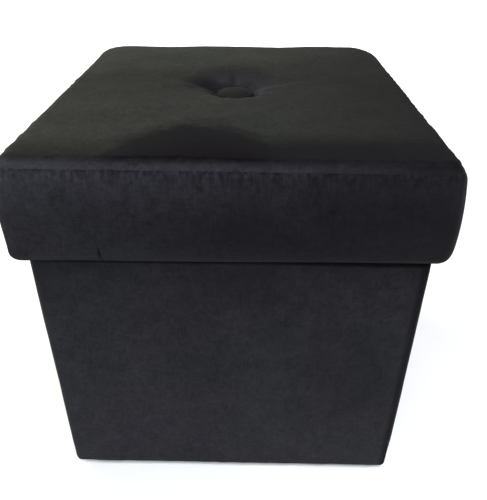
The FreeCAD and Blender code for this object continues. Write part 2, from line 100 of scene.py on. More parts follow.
def square_directions(columns, fine=()):
    """Points round the square of half-width 1, anticlockwise from the front left corner.

    fine lists places round the square, from 0 to 4, where extra columns stand close together."""
    places = list(np.arange(columns) * 4 / columns)
    for place in fine:
        places += [place + step for step in np.linspace(-FINE_REACH, FINE_REACH, FINE_COLUMNS)]
    places = np.array(sorted(set(np.round(places, 6) % 4)))
    side = places.astype(int)
    along = 2 * (places - side) - 1
    one = np.ones_like(along)
    across = np.choose(side, [along, one, -along, -one])
    back = np.choose(side, [-one, along, one, -along])
    return np.stack([across, back], -1)


def rounded_square(directions, half, corner):
    """Where rays in those directions leave a square of that half-width with rounded corners."""
    corner = max(corner, LEAST_CORNER)
    sharp = directions * half
    size = np.abs(directions)
    inner = half - corner
    in_corner = (np.abs(sharp) > inner).all(-1)
    square = (size * size).sum(-1)
    lean = inner * size.sum(-1)
    root = np.sqrt(np.maximum(lean * lean - square * (2 * inner * inner - corner * corner), 0))
    reach = np.where(in_corner, (lean + root) / square, half)
    return directions * reach[:, None]


def rings(directions, profile):
    """A grid of points, one ring for each (half-width, corner radius, height) of a profile."""
    grid = np.zeros((len(profile), len(directions), 3))
    for row, (half, corner, height) in enumerate(profile):
        grid[row, :, :2] = rounded_square(directions, half, corner)
        grid[row, :, 2] = height
    return grid


def arc(centre_half, centre_height, radius, start, end, steps):
    """Points (half-width, height) along an arc. Angles are in degrees up from the outward direction."""
    angles = np.radians(np.linspace(start, end, steps))
    return [(centre_half + radius * math.cos(a), centre_height + radius * math.sin(a)) for a in angles]


def grid_normals(grid):
    """Unit normals of a grid whose columns close up."""
    along = np.gradient(grid, axis=0)
    around = np.roll(grid, -1, 1) - np.roll(grid, 1, 1)
    normals = np.cross(along, around)
    return normals / np.maximum(np.linalg.norm(normals, axis=-1, keepdims=True), 1e-12)


def loft(name, grid, cap_start=False, cap_end=False):
    """A mesh over a grid of rings, capped where asked."""
    points = grid.reshape(-1, 3).tolist()
    here = np.arange(len(points)).reshape(grid.shape[:2])
    following = np.roll(here, -1, 1)
    faces = np.stack([here[:-1], here[1:], following[1:], following[:-1]], -1).reshape(-1, 4).tolist()
    for wanted, row, turn in ((cap_start, 0, 1), (cap_end, -1, -1)):
        if wanted:
            centre = len(points)
            points.append(grid[row].mean(0).tolist())
            pairs = np.stack([here[row], following[row]], -1).tolist()
            faces += [(centre, *pair[::turn]) for pair in pairs]
    mesh = bpy.data.meshes.new(name)
    mesh.from_pydata(points, [], faces)
    mesh.polygons.foreach_set("use_smooth", [True] * len(mesh.polygons))
    thing = bpy.data.objects.new(name, mesh)
    bpy.context.collection.objects.link(thing)
    return thing


def thicken(thing, thickness):
    """Give a cloth surface its thickness, inwards from the face that shows."""
    solid = thing.modifiers.new("thickness", "SOLIDIFY")
    solid.thickness = thickness
    solid.offset = -1
    evaluated = thing.evaluated_get(bpy.context.evaluated_depsgraph_get())
    mesh = bpy.data.meshes.new_from_object(evaluated)
    thing.modifiers.clear()
    thing.data = mesh


def finish_piece(thing, body, material, node):
    """Dress a piece, let it ride on its body and stand for its CAD node."""
    thing.data.materials.append(material)
    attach(thing, body)
    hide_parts(node)


# ---------------- node tools

class Shader:
    """A material with a Principled shader, and short ways to add nodes to it."""

    def __init__(self, name, roughness, **fixed):
        self.material = bpy.data.materials.new(name)
        self.material.use_nodes = True
        self.tree = self.material.node_tree
        self.principled = self.tree.nodes["Principled BSDF"]
        self.principled.inputs["Roughness"].default_value = roughness
        for socket, number in fixed.items():
            self.principled.inputs[socket.replace("_", " ")].default_value = number
        self.place = self.tree.nodes.new("ShaderNodeTexCoord").outputs["Object"]

    def node(self, kind, **settings):
        """A node with some of its settings."""
        made = self.tree.nodes.new(kind)
        for name, setting in settings.items():
            setattr(made, name, setting)
        return made

    def feed(self, socket, source):
        """Link a socket to an output, or set it to a number or colour."""
        if isinstance(source, bpy.types.NodeSocket):
            self.tree.links.new(source, socket)
        else:
            socket.default_value = source

    def math(self, operation, first, second=0.0):
        """A math node's output."""
        made = self.node("ShaderNodeMath", operation=operation)
        self.feed(made.inputs[0], first)
        self.feed(made.inputs[1], second)
        return made.outputs[0]

    def times(self, first, second):
        """The product of two values."""
        return self.math("MULTIPLY", first, second)

    def share(self, value, start, end):
        """How far a value has come from start, where it is 0, to end, where it is 1."""
        return self.math("DIVIDE", self.math("SUBTRACT", value, start), end - start)

    def ragged(self, value, noise, amount):
        """A value made uneven by noise, so that an edge drawn with it is ragged."""
        return self.math("ADD", value, self.times(self.math("SUBTRACT", noise, 0.5), amount))

    def sum_of(self, *parts):
        """The sum of parts, each given as (value, weight)."""
        total = self.times(*parts[0])
        for value, weight in parts[1:]:
            total = self.math("ADD", total, self.times(value, weight))
        return total

    def stretched(self, scale, turn=(0, 0, 0)):
        """The object's coordinates, turned and scaled."""
        made = self.node("ShaderNodeMapping")
        self.feed(made.inputs["Vector"], self.place)
        made.inputs["Scale"].default_value = scale
        made.inputs["Rotation"].default_value = turn
        return made.outputs[0]

    def noise(self, scale, detail=4.0, rough=0.55, warp=0.0, where=None):
        """Noise of about 0 to 1."""
        made = self.node("ShaderNodeTexNoise")
        self.feed(made.inputs["Vector"], where or self.place)
        for socket, number in (("Scale", scale), ("Detail", detail), ("Roughness", rough),
                               ("Distortion", warp)):
            made.inputs[socket].default_value = number
        return made.outputs["Fac"]

    def cells(self, scale, where=None):
        """The distance to the nearest of many scattered points."""
        made = self.node("ShaderNodeTexVoronoi")
        self.feed(made.inputs["Vector"], where or self.place)
        made.inputs["Scale"].default_value = scale
        return made.outputs["Distance"]

    def ramp(self, value, *stops):
        """Colours or greys by a value: each stop is (position, grey or colour)."""
        made = self.node("ShaderNodeValToRGB")
        self.feed(made.inputs[0], value)
        elements = made.color_ramp.elements
        while len(elements) < len(stops):
            elements.new(0.5)
        for element, (position, colour) in zip(elements, stops):
            element.position = position
            element.color = (*colour, 1) if isinstance(colour, tuple) else (colour, colour, colour, 1)
        return made.outputs[0]

    def mix(self, amount, first, second, blend="MIX"):
        """Two colours mixed by an amount."""
        made = self.node("ShaderNodeMix", data_type="RGBA", blend_type=blend)
        self.feed(made.inputs[0], amount)
        for socket, source in ((made.inputs[6], first), (made.inputs[7], second)):
            self.feed(socket, (*source, 1) if isinstance(source, tuple) else source)
        return made.outputs[2]

    def tint(self, colour, where, strength, other):
        """A colour turned towards another one, up to a strength, by a value."""
        return self.mix(self.times(where, strength), colour, other)

    def split(self, where=None):
        """The three coordinates of a place."""
        made = self.node("ShaderNodeSeparateXYZ")
        self.feed(made.inputs[0], where or self.place)
        return made.outputs

    def bump(self, height, distance, strength, onto=None):
        """A normal bumped by a height."""
        made = self.node("ShaderNodeBump")
        self.feed(made.inputs["Height"], height)
        made.inputs["Distance"].default_value = distance
        made.inputs["Strength"].default_value = strength
        if onto:
            self.feed(made.inputs["Normal"], onto)
        return made.outputs[0]

    def done(self, colour, normal, roughness=None):
        """Join the results to the shader and give back the material."""
        self.feed(self.principled.inputs["Base Color"], colour)
        self.feed(self.principled.inputs["Normal"], normal)
        if roughness:
            self.feed(self.principled.inputs["Roughness"], roughness)
        return self.material


# ---------------- materials

# Where the lid's top is darker: an arch of dark-lying nap and painted shade of the top sloping to the front,
# and painted shade on a corner past a sloping line and on a strip.
ARCH_MIDDLE = -27 * MM
ARCH_HALF_WIDTH = 86 * MM
ARCH_FRONT, ARCH_BACK = -180 * MM, -100 * MM
ARCH_POWER = 1.85
CORNER_LINE = -118 * MM
CORNER_SLOPE = 0.10
CORNER_DEPTH = 50 * MM
FRONT_STRIP = (-138 * MM, -174 * MM)
ROLLED_OVER = (-177 * MM, -185 * MM)
# The darker colours: of dark-lying nap and painted shade on the lid's top, of the spots, and of the painted
# shade at the edges under the lid.
NAP_AND_SHADE_DARK = (0.0016, 0.0008, 0.0026)
SPOT_DARK = (0.0012, 0.0009, 0.0018)
EDGE_DARK = (0.0018, 0.0014, 0.0022)


def microsuede(name, dark, light, low_tones=None, lean=None, low_lean=None, gathers=None, fade=None,
               nap_and_shade_patch=False, spots=(), shaded_edge=None):
    """Charcoal brushed microsuede: mottled nap over a fine fibre, with a soft sheen.

    dark and light are the nap's tones. low_tones is (dark, light, low, high): other tones below low, which
    change to the main ones up to high. lean and low_lean are (axis, stops): shares of lightness along an axis
    of the lid, for the two pairs of tones: painted light and shade. gathers is (top, depth): upright light
    and
    dark streaks below a seam: painted light and shade of its puckers. fade is (low, high, share): a share of
    the lightness at low, and all of it at high: painted shade. nap_and_shade_patch is for the lid's top,
    where the nap lies the dark way and shade is painted in places. spots are darker ovals: (centre, reach,
    depth);
    those in a crease or on a corner turned from the light are painted shade. shaded_edge is (clear, edge):
    between these heights painted shade darkens the cloth along the gap under the lid."""
    s = Shader(name, 0.92, Sheen_Weight=0.025, Sheen_Roughness=0.5, Specular_IOR_Level=0.03)
    broad = s.noise(14, 3, 0.5, 0.4)
    mottle = s.noise(75, 5, 0.62, 0.6)
    nap = s.noise(260, 5, 0.70, 0.5)
    across_grain = s.noise(520, 3, 0.6, 0.1, s.stretched((1, 1, 0.15)))
    with_grain = s.noise(560, 3, 0.6, 0.1, s.stretched((0.2, 0.2, 1)))
    fibre = s.noise(1600, 3, 0.7)
    level = s.sum_of((broad, 0.14), (mottle, 0.13), (nap, 0.30), (across_grain, 0.15), (with_grain, 0.12),
                     (fibre, 0.16))
    up = s.split()[2]
    colour = s.mix(1.0, two_tones(s, level, dark, light), hue_drift(s), "MULTIPLY")
    # Painted light and shade: lighter or darker along one axis, as the light falls.
    colour = leaning(s, colour, lean)
    # The top's rolled edge in its own bluer tones, lighter at the left: painted light and shade.
    if low_tones:
        low_dark, low_light, low, high = low_tones
        low_colour = leaning(s, two_tones(s, level, low_dark, low_light), low_lean)
        colour = s.mix(s.ramp(s.share(up, low, high), (0.0, 0.0), (1.0, 1.0)), low_colour, colour)
    # Painted light and shade of the seam's puckers.
    if gathers:
        colour = gathered(s, colour, broad, up, *gathers)
    # Painted shade: darker towards the height low, on the base up under the lid's overhang, on the band down
    # from the seam.
    if fade:
        low, high, least = fade
        rise = s.ragged(s.share(up, low, high), mottle, 0.8)
        colour = s.mix(1.0, colour, s.ramp(rise, (0.0, least), (1.0, 1.0)), "MULTIPLY")
    # Dark-lying nap and painted shade on the lid's top.
    if nap_and_shade_patch:
        colour = s.mix(nap_and_painted_shade(s, mottle), colour, NAP_AND_SHADE_DARK)
    # Darker spots; those in a crease or on a corner turned from the light are painted shade.
    for centre, reach, depth in spots:
        colour = s.mix(dark_spot(s, centre, reach, depth), colour, SPOT_DARK)
    # Painted shade: a thin dark band along the lid's lower edge and just under the base's rim, where the gap
    # between them lies in shade.
    if shaded_edge:
        colour = s.mix(s.ramp(s.share(up, *shaded_edge), (0.0, 0.0), (0.8, 0.85)), colour, EDGE_DARK)
    relief = s.sum_of((fibre, 0.6), (across_grain, 0.4))
    return s.done(colour, s.bump(relief, 0.5 * MM, 0.4, s.bump(nap, 1.2 * MM, 0.35)))


def two_tones(s, level, dark, light):
    """The nap's tone, from dark to light by its mottling."""
    return s.ramp(level, (0.40, dark), (0.61, light))


def hue_drift(s):
    """Broad patches that lean to violet and to green, to multiply a colour by."""
    patches = s.ramp(s.noise(9, 3, 0.5, 0.8), (0.35, 0.0), (0.65, 1.0))
    return s.mix(patches, (1.04, 0.98, 1.035), (0.965, 1.015, 0.98))


def leaning(s, colour, lean):
    """A colour whose lightness changes along one of the lid's axes: painted light and shade, lighter towards
    the light.
    """
    if not lean:
        return colour
    axis, stops = lean
    along = s.math("ADD", s.math("DIVIDE", s.split()[axis], 2 * LID_HALF), 0.5)
    return s.mix(1.0, colour, s.ramp(along, *stops), "MULTIPLY")


def gathered(s, colour, broad, up, top, depth):
    """A colour with upright light and dark streaks that fade out downwards from a seam: painted light and
    shade of the seam's puckers.
    """
    streaks = s.noise(260, 2, 0.6, 0.0, s.stretched((1, 1, 0.07)))
    streaked = s.mix(1.0, colour, s.ramp(streaks, (0.39, 0.45), (0.61, 1.45)), "MULTIPLY")
    down = s.math("ADD", s.share(up, top, top - depth), s.times(broad, 0.9))
    return s.mix(s.ramp(down, (0.35, 0.75), (1.0, 0.0)), colour, streaked)


def nap_and_painted_shade(s, mottle):
    """How dark the lid's top is painted: an arch at its front, where the nap lies the dark way and painted
    shade stands for the top sloping down to the front; and painted shade on its front right corner, a strip
    along its front, its right side, and the left and back of the button's dimple."""
    x, y, _ = s.split()
    across = s.math("ABSOLUTE", s.math("DIVIDE", s.math("SUBTRACT", x, ARCH_MIDDLE), ARCH_HALF_WIDTH))
    reach = s.math("ADD", s.math("POWER", across, ARCH_POWER), s.share(y, ARCH_FRONT, ARCH_BACK))
    reach = s.math("DIVIDE", s.ragged(reach, mottle, 0.45), 1.25)
    arch = s.ramp(reach, (0.25, 1.0), (0.62, 0.84), (0.88, 0.0))
    line = s.sum_of((x, CORNER_SLOPE), (y, -1.0))
    past_line = s.ragged(s.share(line, -CORNER_LINE, CORNER_DEPTH - CORNER_LINE), mottle, 0.5)
    corner = s.times(s.ramp(past_line, (0.0, 0.0), (0.9, 0.81)),
                    s.ramp(s.math("DIVIDE", x, 100 * MM), (0.0, 0.0), (0.25, 1.0)))
    front = s.ramp(s.ragged(s.share(y, *FRONT_STRIP), mottle, 0.6), (0.0, 0.0), (1.0, 0.62))
    right = s.ramp(s.ragged(s.sum_of((x, 4.4), (y, -0.6)), mottle, 0.5), (0.0, 0.0), (0.9, 0.60))
    pocket = dark_spot(s, (-33 * MM, 22 * MM), (27 * MM, 36 * MM), 0.77)
    behind_button = dark_spot(s, (6 * MM, 48 * MM), (52 * MM, 46 * MM), 0.42)
    shade = arch
    for part in (corner, front, right, pocket, behind_button):
        shade = s.math("MAXIMUM", shade, part)
    over_edge = s.ragged(s.share(y, *ROLLED_OVER), mottle, 0.6)
    return s.times(shade, s.ramp(over_edge, (0.0, 1.0), (1.0, 0.10)))


def dark_spot(s, centre, reach, depth):
    """A soft darker oval, or an upright column of it where the centre has two coordinates. In the button's
    dimple, in the dart's crease and on the base's right front corner it is painted shade.
    """
    total = 0.0
    for place, middle, half in zip(s.split(), centre, reach):
        apart = s.math("DIVIDE", s.math("SUBTRACT", place, middle), half)
        total = s.math("ADD", s.math("POWER", apart, 2.0), total)
    return s.ramp(total, (0.05, depth), (1.0, 0.0))


def spunbond(name):
    """Thin black nonwoven: matted filaments, pressed flat in a grid of small diamonds."""
    s = Shader(name, 0.7, Specular_IOR_Level=0.3, Sheen_Weight=0.15)
    grid = s.stretched((1, 1, 1), (0.0, 0.0, math.radians(45)))
    bonds = s.cells(420, where=grid)
    threads = s.noise(900, 5, 0.75, 2.5)
    cloudy = s.noise(60, 4, 0.6)
    pressed = s.ramp(bonds, (0.20, 1.0), (0.34, 0.0))
    body = s.mix(threads, (0.010, 0.010, 0.011), (0.038, 0.038, 0.041))
    body = s.tint(body, cloudy, 0.5, (0.030, 0.030, 0.032))
    colour = s.mix(pressed, body, (0.012, 0.012, 0.014))
    height = s.math("SUBTRACT", threads, pressed)
    return s.done(colour, s.bump(height, 0.3 * MM, 0.6), s.ramp(pressed, (0.0, 0.75), (1.0, 0.42)))


def greyboard(name):
    """Grey board: pulp fibres with a few dark and light specks."""
    s = Shader(name, 0.85, Specular_IOR_Level=0.25)
    pulp = s.noise(700, 5, 0.7, 1.5)
    cloudy = s.noise(30, 4, 0.6)
    colour = s.mix(pulp, (0.21, 0.20, 0.18), (0.38, 0.36, 0.33))
    colour = s.tint(colour, cloudy, 0.4, (0.26, 0.245, 0.22))
    specks = s.ramp(s.noise(520, 2, 0.5, 0.0, s.stretched((1, 1.7, 1))), (0.70, 0.0), (0.73, 0.7))
    colour = s.mix(specks, colour, (0.09, 0.085, 0.08))
    return s.done(colour, s.bump(pulp, 0.3 * MM, 0.35))


def mdf(name):
    """Raw MDF: pressed brown fibre."""
    s = Shader(name, 0.62, Specular_IOR_Level=0.3)
    fluff = s.noise(900, 6, 0.75, 1.0)
    cloudy = s.noise(14, 4, 0.6)
    colour = s.mix(fluff, (0.34, 0.22, 0.12), (0.56, 0.40, 0.25))
    colour = s.tint(colour, cloudy, 0.35, (0.36, 0.245, 0.145))
    scuffs = s.ramp(s.noise(40, 6, 0.7, 0.5, s.stretched((1, 1, 5))), (0.64, 0.0), (0.70, 0.25))
    colour = s.mix(scuffs, colour, (0.62, 0.49, 0.34))
    return s.done(colour, s.bump(fluff, 0.25 * MM, 0.35), s.ramp(fluff, (0.3, 0.55), (0.7, 0.75)))


def wood_grain(s, along, pale, dark):
    """Colour and height of a planed softwood face whose grain runs along an axis, 0 to 2."""
    stretch = [1.0, 1.0, 1.0]
    stretch[along] = 0.06
    lines = s.stretched(tuple(stretch))
    growth = s.noise(150, 3, 0.5, 0.7, lines)
    late = s.ramp(growth, (0.48, 0.0), (0.56, 1.0), (0.60, 0.0))
    pores = s.noise(1400, 3, 0.6, 0.0, lines)
    colour = s.tint(s.tint(pale, late, 0.65, dark), pores, 0.22, dark)
    return colour, s.math("ADD", s.times(late, 0.5), pores)


def pine(name, along):
    """Planed, unfinished pine."""
    s = Shader(name, 0.6, Specular_IOR_Level=0.3)
    colour, height = wood_grain(s, along, (0.66, 0.46, 0.25), (0.42, 0.23, 0.09))
    knots = s.ramp(s.cells(16), (0.03, 0.75), (0.10, 0.0))
    colour = s.mix(knots, colour, (0.20, 0.09, 0.035))
    return s.done(colour, s.bump(height, 0.2 * MM, 0.35))


def plywood(name, low, high, layers=9):
    """Birch plywood: faces with a long grain, and thin layers that show at the edges and in the holes."""
    s = Shader(name, 0.55, Specular_IOR_Level=0.3)
    face, height = wood_grain(s, 0, (0.70, 0.54, 0.34), (0.52, 0.36, 0.19))
    up = s.split()[2]
    depth = s.times(s.math("SUBTRACT", up, low), layers / (high - low))
    band = s.math("MODULO", depth, 2.0)
    cross = s.ramp(s.times(band, 0.5), (0.46, 0.0), (0.50, 1.0), (0.97, 1.0), (1.0, 0.0))
    fuzz = s.noise(800, 4, 0.7)
    edge = s.mix(cross, (0.62, 0.47, 0.29), (0.34, 0.21, 0.11))
    edge = s.tint(edge, fuzz, 0.35, (0.25, 0.15, 0.08))
    tilt = s.split(s.node("ShaderNodeNewGeometry").outputs["Normal"])[2]
    is_face = s.ramp(s.math("ABSOLUTE", tilt), (0.6, 0.0), (0.8, 1.0))
    return s.done(s.mix(is_face, edge, face), s.bump(height, 0.2 * MM, 0.3))


def foam(name, pale, deep):
    """Open-cell foam: small round cells, and a little yellowing."""
    s = Shader(name, 0.9, Specular_IOR_Level=0.15)
    pores = s.cells(650)
    aged = s.noise(12, 4, 0.6)
    colour = s.mix(s.ramp(pores, (0.15, 1.0), (0.55, 0.0)), pale, deep)
    colour = s.tint(colour, aged, 0.35, deep)
    return s.done(colour, s.bump(pores, 0.8 * MM, 0.6))


def wadding(name):
    """White polyester wadding: a loose mat of fine fibres."""
    s = Shader(name, 0.85, Sheen_Weight=0.4, Specular_IOR_Level=0.2)
    fibres = s.noise(520, 6, 0.8, 3.0)
    clumps = s.noise(45, 4, 0.6)
    colour = s.mix(fibres, (0.66, 0.66, 0.64), (0.90, 0.90, 0.89))
    colour = s.tint(colour, clumps, 0.3, (0.74, 0.74, 0.72))
    return s.done(colour, s.bump(fibres, 1.2 * MM, 0.6))


def plastic(name, tone, rough):
    """Moulded plastic with a fine spark texture and light scuffs."""
    s = Shader(name, rough, Specular_IOR_Level=0.45)
    spark = s.noise(1800, 3, 0.6)
    scuffs = s.ramp(s.noise(240, 6, 0.75, 1.2, s.stretched((1, 4, 1))), (0.60, 0.0), (0.66, 1.0))
    worn = tuple(min(1.0, 1.25 * part + 0.02) for part in tone)
    colour = s.tint(tone, s.noise(90, 4, 0.6), 0.5, worn)
    colour = s.tint(colour, scuffs, 0.4, worn)
    return s.done(colour, s.bump(spark, 0.12 * MM, 0.5), s.ramp(scuffs, (0.0, rough), (1.0, rough + 0.2)))


# How fast the twine's strands follow each other, in radians a metre.
STRAND_RATE = 3600


def twine(name):
    """Waxed tufting twine: strands laid round each other."""
    s = Shader(name, 0.5, Specular_IOR_Level=0.35)
    x, y, z = s.split()
    strands = s.math("SINE", s.sum_of((x, STRAND_RATE), (y, STRAND_RATE), (z, STRAND_RATE)))
    hair = s.noise(2600, 4, 0.7)
    level = s.math("ADD", s.times(strands, 0.35), hair)
    colour = s.ramp(level, (0.25, (0.34, 0.29, 0.20)), (0.8, (0.66, 0.61, 0.49)))
    return s.done(colour, s.bump(strands, 0.25 * MM, 0.8))


def zinc_steel(name):
    """Zinc-plated steel: pale metal with a faint bloom and fine scratches."""
    s = Shader(name, 0.32, Metallic=0.95)
    scratches = s.noise(900, 4, 0.7, 0.3, s.stretched((1, 1, 0.15)))
    bloom = s.noise(140, 5, 0.65)
    colour = s.mix(bloom, (0.50, 0.51, 0.53), (0.72, 0.70, 0.64))
    rough = s.ramp(s.sum_of((scratches, 0.5), (bloom, 0.5)), (0.35, 0.24), (0.7, 0.52))
    return s.done(colour, s.bump(scratches, 0.08 * MM, 0.4), rough)


ACROSS, BACK = 0, 1
DART = -109 * MM
SPOT_THROUGH = 50 * MM
# The same cloth in three pairs of tones: the lid's top lighter and warmer, its band and the base darker and
# bluer, as light falls on them: painted light and shade. So are the leans, the fades, the top's rolled edge
# lighter at the left, and the dark edges under the lid.
SUEDE_TOP = microsuede(
    "microsuede_lid_top", (0.0208, 0.0216, 0.0193), (0.0536, 0.0567, 0.0493), nap_and_shade_patch=True,
    lean=(BACK, ((0.0, 0.58), (0.35, 0.58), (0.55, 0.52), (0.70, 0.65), (1.0, 1.0))),
    low_tones=((0.0187, 0.0181, 0.0212), (0.0448, 0.0452, 0.0517), TOP_HIGH - 4 * MM, TOP_HIGH - 1.5 * MM),
    low_lean=(ACROSS, ((0.0, 1.0), (0.55, 0.88), (0.9, 0.34))))
SUEDE_BAND = microsuede(
    "microsuede_lid_band", (0.0132, 0.0127, 0.0156), (0.0340, 0.0337, 0.0391),
    lean=(ACROSS, ((0.0, 1.0), (0.5, 0.66), (0.9, 0.52))),
    gathers=(SEAM, 26 * MM), fade=(SEAM - 40 * MM, SEAM, 0.54),
    # Two soft darker ovals on the band's front, and a thin column of painted shade in the dart's crease.
    spots=(((120 * MM, -LID_HALF, SEAM - 20 * MM), (85 * MM, SPOT_THROUGH, 36 * MM), 0.30),
           ((5 * MM, -LID_HALF, SEAM - 62 * MM), (80 * MM, SPOT_THROUGH, 30 * MM), 0.22),
           ((DART, -LID_HALF, LID_BOTTOM + 12 * MM), (2 * MM, SPOT_THROUGH, 12 * MM), 0.85)),
    shaded_edge=(LID_BOTTOM + 6.5 * MM, LID_BOTTOM + 2 * MM))
SUEDE_BASE = microsuede(
    "microsuede_base", (0.0107, 0.0103, 0.0124), (0.0258, 0.0257, 0.0291),
    lean=(ACROSS, ((0.0, 1.0), (0.5, 0.93), (1.0, 1.0))), fade=(RIM, 30 * MM, 0.62),
    # Two soft darker ovals on the base's front, and a column of painted shade on its right front corner,
    # which turns away from the light.
    spots=(((-10 * MM, -BASE_HALF, RIM - 30 * MM), (70 * MM, SPOT_THROUGH, 34 * MM), 0.16),
           ((120 * MM, -BASE_HALF, 150 * MM), (75 * MM, SPOT_THROUGH, 80 * MM), 0.20),
           ((BASE_HALF, -BASE_HALF), (10.5 * MM, 10.5 * MM), 0.85)),
    shaded_edge=(RIM - 6.5 * MM, RIM - 3.5 * MM))
SUEDE_BUTTON = microsuede("microsuede_button", (0.0070, 0.0072, 0.0068), (0.0180, 0.0187, 0.0174))
SPUNBOND = spunbond("black_spunbond")
FOAM = foam("cream_foam", (0.80, 0.72, 0.50), (0.50, 0.40, 0.22))
PAD_FOAM = foam("grey_pad_foam", (0.42, 0.42, 0.43), (0.20, 0.20, 0.21))
WADDING = wadding("white_wadding")
CAD_MATERIALS = {
    "mdf": mdf("raw_mdf"),
    "plywood": plywood("birch_plywood", BOARD_LOW.z, BOARD_HIGH.z),
    "greyboard": greyboard("grey_board"),
    "glide_plastic": plastic("black_glide_plastic", (0.022, 0.022, 0.023), 0.42),
    "anchor_plastic": plastic("natural_nylon", (0.62, 0.60, 0.54), 0.38),
    "twine": twine("waxed_twine"),
    "zinc_steel": zinc_steel("zinc_plated_steel"),
}
PINE = [pine("pine_grain_" + axis, along) for along, axis in enumerate("xyz")]


def dress_cad_nodes():
    """Give every CAD node that stays in view its real material."""
    for name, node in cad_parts.items():
        slot = node.material_slots[0]
        kind = slot.material.name
        if kind == "pine":
            along = 2 if name.startswith("corner") else int(name in ("cleat_left", "cleat_right"))
            slot.material = PINE[along]
        elif kind in CAD_MATERIALS:
            slot.material = CAD_MATERIALS[kind]


dress_cad_nodes()


# ---------------- the lid's cloth

ROLL = 16 * MM
LOW_ROLL = 10 * MM
EDGE_FALL = 2 * MM
CROWN = TOP_HIGH + 0.7 * MM
TOP_CORNER = 19 * MM
LOW_CORNER = 12 * MM
HEM_CORNER = 2 * MM
LIP = 66 * MM
HOLE = 4.5 * MM
HEM = 36 * MM
BAND_BULGE = 2.4 * MM

# The button's dimple, in front of the button and behind it.
PULL_RADIUS, PULL_FRONT, PULL_BACK = 25 * MM, 16 * MM, 9 * MM
SLOPE_RADIUS, SLOPE_FRONT, SLOPE_BACK = 52 * MM, 1 * MM, 8 * MM
POCKET = np.array((-31, 15)) * MM
POCKET_RADIUS, POCKET_DEPTH = 16 * MM, 2.5 * MM
CLOTH_UNDER_BUTTON = 1.6 * MM

# How the lid differs from a true square slab.
BACK_RISE = 4.0 * MM
RIGHT_RISE = 1.6 * MM
BACK_CORNER_CUT = 4.0 * MM
LOW_RIGHT_CUT = 2.6 * MM

# The simulation: the cloth, how firmly it is held where it is, and how far it may move.
SUEDE_CLOTH = {"quality": 7, "mass": 0.25, "tension_stiffness": 20, "compression_stiffness": 20,
               "shear_stiffness": 6, "bending_stiffness": 0.3, "use_pressure": True,
               "uniform_pressure_force": 4, "shrink_max": -0.035}
TOP_HOLD, BAND_HOLD = 0.35, 0.12
TIED_RADIUS = 19 * MM
SETTLE_LIMIT = 3.5 * MM
SETTLE_FRAMES = 20

# Folds: the two soft ones are (heading in degrees, the side that lies behind them).
WINGS = ((162, -1), (20, 1))
WING_HEIGHT = 1.4 * MM
CREASE_ANGLE = 92
CREASE_DEPTH = 1.5 * MM
FOLD_HEIGHT = 0.5 * MM
PUCKER_HEIGHT = 1.15 * MM
SEAM_VALLEY = 0.9 * MM
DART_DEPTH = 1.3 * MM

# How deep the filling lies under the skin of the cover.
WADDING_DEPTH, WADDING_THICKNESS = 3.4 * MM, 1.6 * MM
FOAM_DEPTH = 5.8 * MM

DRAFT_COLUMNS = 304
LID_COLUMNS = 760
TOP_ROWS = 64
BAND_ROWS = 62
PACKED = 0.75


def lid_profile():
    """The rings of the lid's cloth, from the button's hole out, down and under, and the seam's row."""
    flat = LID_HALF - ROLL
    halves = np.concatenate([np.linspace(HOLE, 24 * MM, 6), np.linspace(28 * MM, 84 * MM, 13),
                             np.linspace(90 * MM, flat, 14)])
    roll_centre = CROWN - EDGE_FALL - ROLL
    low_centre = LID_BOTTOM + LOW_ROLL
    profile = []
    for half in halves:
        fall = max(half - LIP, 0) / (flat - LIP)
        corner = half + (TOP_CORNER - ROLL - half) * float(ease(0.1, 1.0, half / flat))
        profile.append((half, corner, CROWN - EDGE_FALL * fall ** 2))
    seam_angle = math.degrees(math.asin((SEAM - roll_centre) / ROLL))
    over_seam = arc(flat, roll_centre, ROLL, 90, seam_angle, 6)[1:]
    under_seam = arc(flat, roll_centre, ROLL, seam_angle, 0, 4)[1:]
    for half, height in over_seam + under_seam:
        profile.append((half, TOP_CORNER - (LID_HALF - half), height))
    seam_row = len(halves) + len(over_seam) - 1
    for height in np.linspace(roll_centre, low_centre, 15)[1:]:
        down = (roll_centre - height) / (roll_centre - LID_BOTTOM)
        profile.append((LID_HALF, TOP_CORNER + (LOW_CORNER - TOP_CORNER) * down, height))
    for half, height in arc(LID_HALF - LOW_ROLL, low_centre, LOW_ROLL, 0, -90, 5)[1:]:
        profile.append((half, LOW_CORNER - (LID_HALF - half), height))
    for half in np.linspace(LID_HALF - LOW_ROLL, LID_HALF - HEM, 6)[1:]:
        profile.append((half, HEM_CORNER, LID_BOTTOM))
    return profile, seam_row


def button_dimple(plan):
    """How far the button's tie pulls the cloth down: steeply in front, widely behind, more at the left."""
    radius = np.linalg.norm(plan, axis=-1)
    behind = ease(-34 * MM, 34 * MM, plan[..., 1])
    steep = (PULL_FRONT + (PULL_BACK - PULL_FRONT) * behind) * np.exp(-(radius / PULL_RADIUS) ** 4)
    stretched = np.hypot(plan[..., 0], plan[..., 1] * (1 - 0.25 * behind))
    wide = (SLOPE_FRONT + (SLOPE_BACK - SLOPE_FRONT) * behind) * np.exp(-(stretched / SLOPE_RADIUS) ** 2.2)
    pocket = POCKET_DEPTH * np.exp(-((plan - POCKET) ** 2).sum(-1) / POCKET_RADIUS ** 2)
    return np.minimum(steep + wide + pocket, CROWN - (BUTTON_LOW.z - CLOTH_UNDER_BUTTON))


